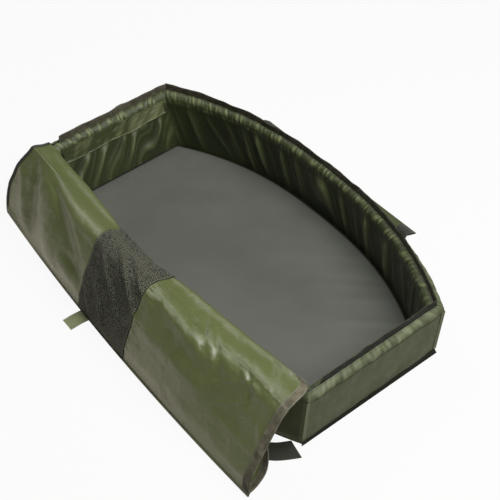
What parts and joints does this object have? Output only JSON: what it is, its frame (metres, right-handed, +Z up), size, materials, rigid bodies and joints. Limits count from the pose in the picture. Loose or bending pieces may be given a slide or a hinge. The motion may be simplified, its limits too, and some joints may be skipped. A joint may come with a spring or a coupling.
{
  "type": "unhooking mat",
  "caption": "Padded walled tray for landed fish, with a fold-back cloth lid, mesh drain panels, fastening tape along the wall tops and webbing carry wings.",
  "frame": {"origin": "centre of the mat's footprint, on the ground", "axes": "+X along the mat towards the end with no pocket flap, +Y from the wall with the lid to the opposite wall, +Z up"},
  "size_m": [1.1044, 0.8489, 0.1999],
  "materials": {
    "nylon_outer": "satin",
    "nylon_inner": "satin",
    "nylon_lid": "satin",
    "nylon_roll": "satin",
    "pvc_grey": "satin",
    "pvc_black": "matte",
    "foam": "matte",
    "mesh": "matte",
    "hook_tape": "matte",
    "webbing_dark": "matte",
    "webbing_light": "matte"
  },
  "bodies": {
    "mat": {"ground_sheet": "pvc_black", "base_foam": "foam", "floor_liner": "pvc_grey", "near_end_lip": "pvc_black", "back_foam": "foam", "back_outer_cover": "nylon_outer", "back_inner_cover": "nylon_inner", "front_foam": "foam", "front_outer_cover": "nylon_outer", "front_inner_cover": "nylon_inner", "left_foam": "foam", "left_outer_cover": "nylon_outer", "left_inner_cover": "nylon_inner", "right_foam": "foam", "right_outer_cover": "nylon_outer", "right_inner_cover": "nylon_inner", "back_fastening_tape": "hook_tape", "left_fastening_tape": "hook_tape", "right_fastening_tape": "hook_tape", "welt_front_left": "nylon_outer", "welt_front_right": "nylon_outer", "welt_back_left": "nylon_outer", "welt_back_right": "nylon_outer", "lid_crest_left": "nylon_lid", "lid_crest_mesh": "mesh", "lid_crest_right": "nylon_lid", "front_strap_left": "webbing_dark", "front_strap_right": "webbing_dark", "back_strap_left": "webbing_dark", "back_strap_right": "webbing_dark", "loose_strap_end": "webbing_dark", "wing_seam_strip": "nylon_outer", "front_wing_left": "nylon_outer", "front_wing_mesh": "mesh", "front_wing_right": "nylon_outer", "front_wing_grip": "nylon_roll"},
    "lid": {"lid_drape_left": "nylon_lid", "lid_drape_mesh": "mesh", "lid_drape_right": "nylon_lid", "lid_tape_right": "hook_tape", "lid_binding_left": "webbing_dark"},
    "lid_tail": {"lid_tail_left": "nylon_lid", "lid_tail_mesh": "mesh", "lid_tail_right": "nylon_lid"},
    "lid_edge": {"lid_edge_left": "nylon_lid", "lid_edge_mesh": "mesh", "lid_edge_right": "nylon_lid"},
    "pull_tab": {"pull_tab": "webbing_light"},
    "wing": {"wing_panel_left": "nylon_outer", "wing_mesh": "mesh", "wing_panel_right": "nylon_outer", "wing_strap_left": "webbing_dark", "wing_strap_right": "webbing_dark"},
    "wing_lower": {"wing_lower_panel": "mesh", "wing_lower_strap_left": "webbing_dark", "wing_lower_strap_right": "webbing_dark", "wing_grip": "nylon_roll"},
    "pocket_flap": {"pocket_flap": "nylon_roll"}
  },
  "joints": [
    {"name": "lid_swing", "type": "hinge", "parent": "mat", "child": "lid", "pos_m": [0, -0.261, 0.2], "axis": [-0.9987, 0.0519, 0], "range_deg": [0, 239]},
    {"name": "lid_fold", "type": "hinge", "parent": "lid", "child": "lid_tail", "pos_m": [-0.00532, -0.36339, 0.00149], "axis": [-0.9987, 0.0519, 0], "range_deg": [0, 179.5]},
    {"name": "lid_edge_fold", "type": "hinge", "parent": "lid_tail", "child": "lid_edge", "pos_m": [-0.00157, -0.29112, 0.13518], "axis": [0.9987, -0.0519, 0], "range_deg": [0, 175.5]},
    {"name": "back_wing_swing", "type": "hinge", "parent": "mat", "child": "wing", "pos_m": [0, 0.352, 0.146], "axis": [1, 0, 0], "range_deg": [0, 200]},
    {"name": "back_wing_fold", "type": "hinge", "parent": "wing", "child": "wing_lower", "pos_m": [0, 0.352, 0.007], "axis": [1, 0, 0], "range_deg": [-43.5, 0]},
    {"name": "pocket_flap_lift", "type": "hinge", "parent": "mat", "child": "pocket_flap", "pos_m": [-0.51844, 0, 0.16], "axis": [0, -1, 0], "range_deg": [0, 60]},
    {"name": "pull_tab_swing", "type": "hinge", "parent": "lid", "child": "pull_tab", "pos_m": [-0.14773, -0.35793, 0.00296], "axis": [-0.9987, 0.0519, 0], "range_deg": [0, 45]}
  ],
  "couplings": [
    {"joint": "lid_fold", "follows": "lid_swing", "ratio": 0.751},
    {"joint": "lid_edge_fold", "follows": "lid_swing", "ratio": 0.7343},
    {"joint": "back_wing_fold", "follows": "back_wing_swing", "ratio": -0.2175}
  ]
}
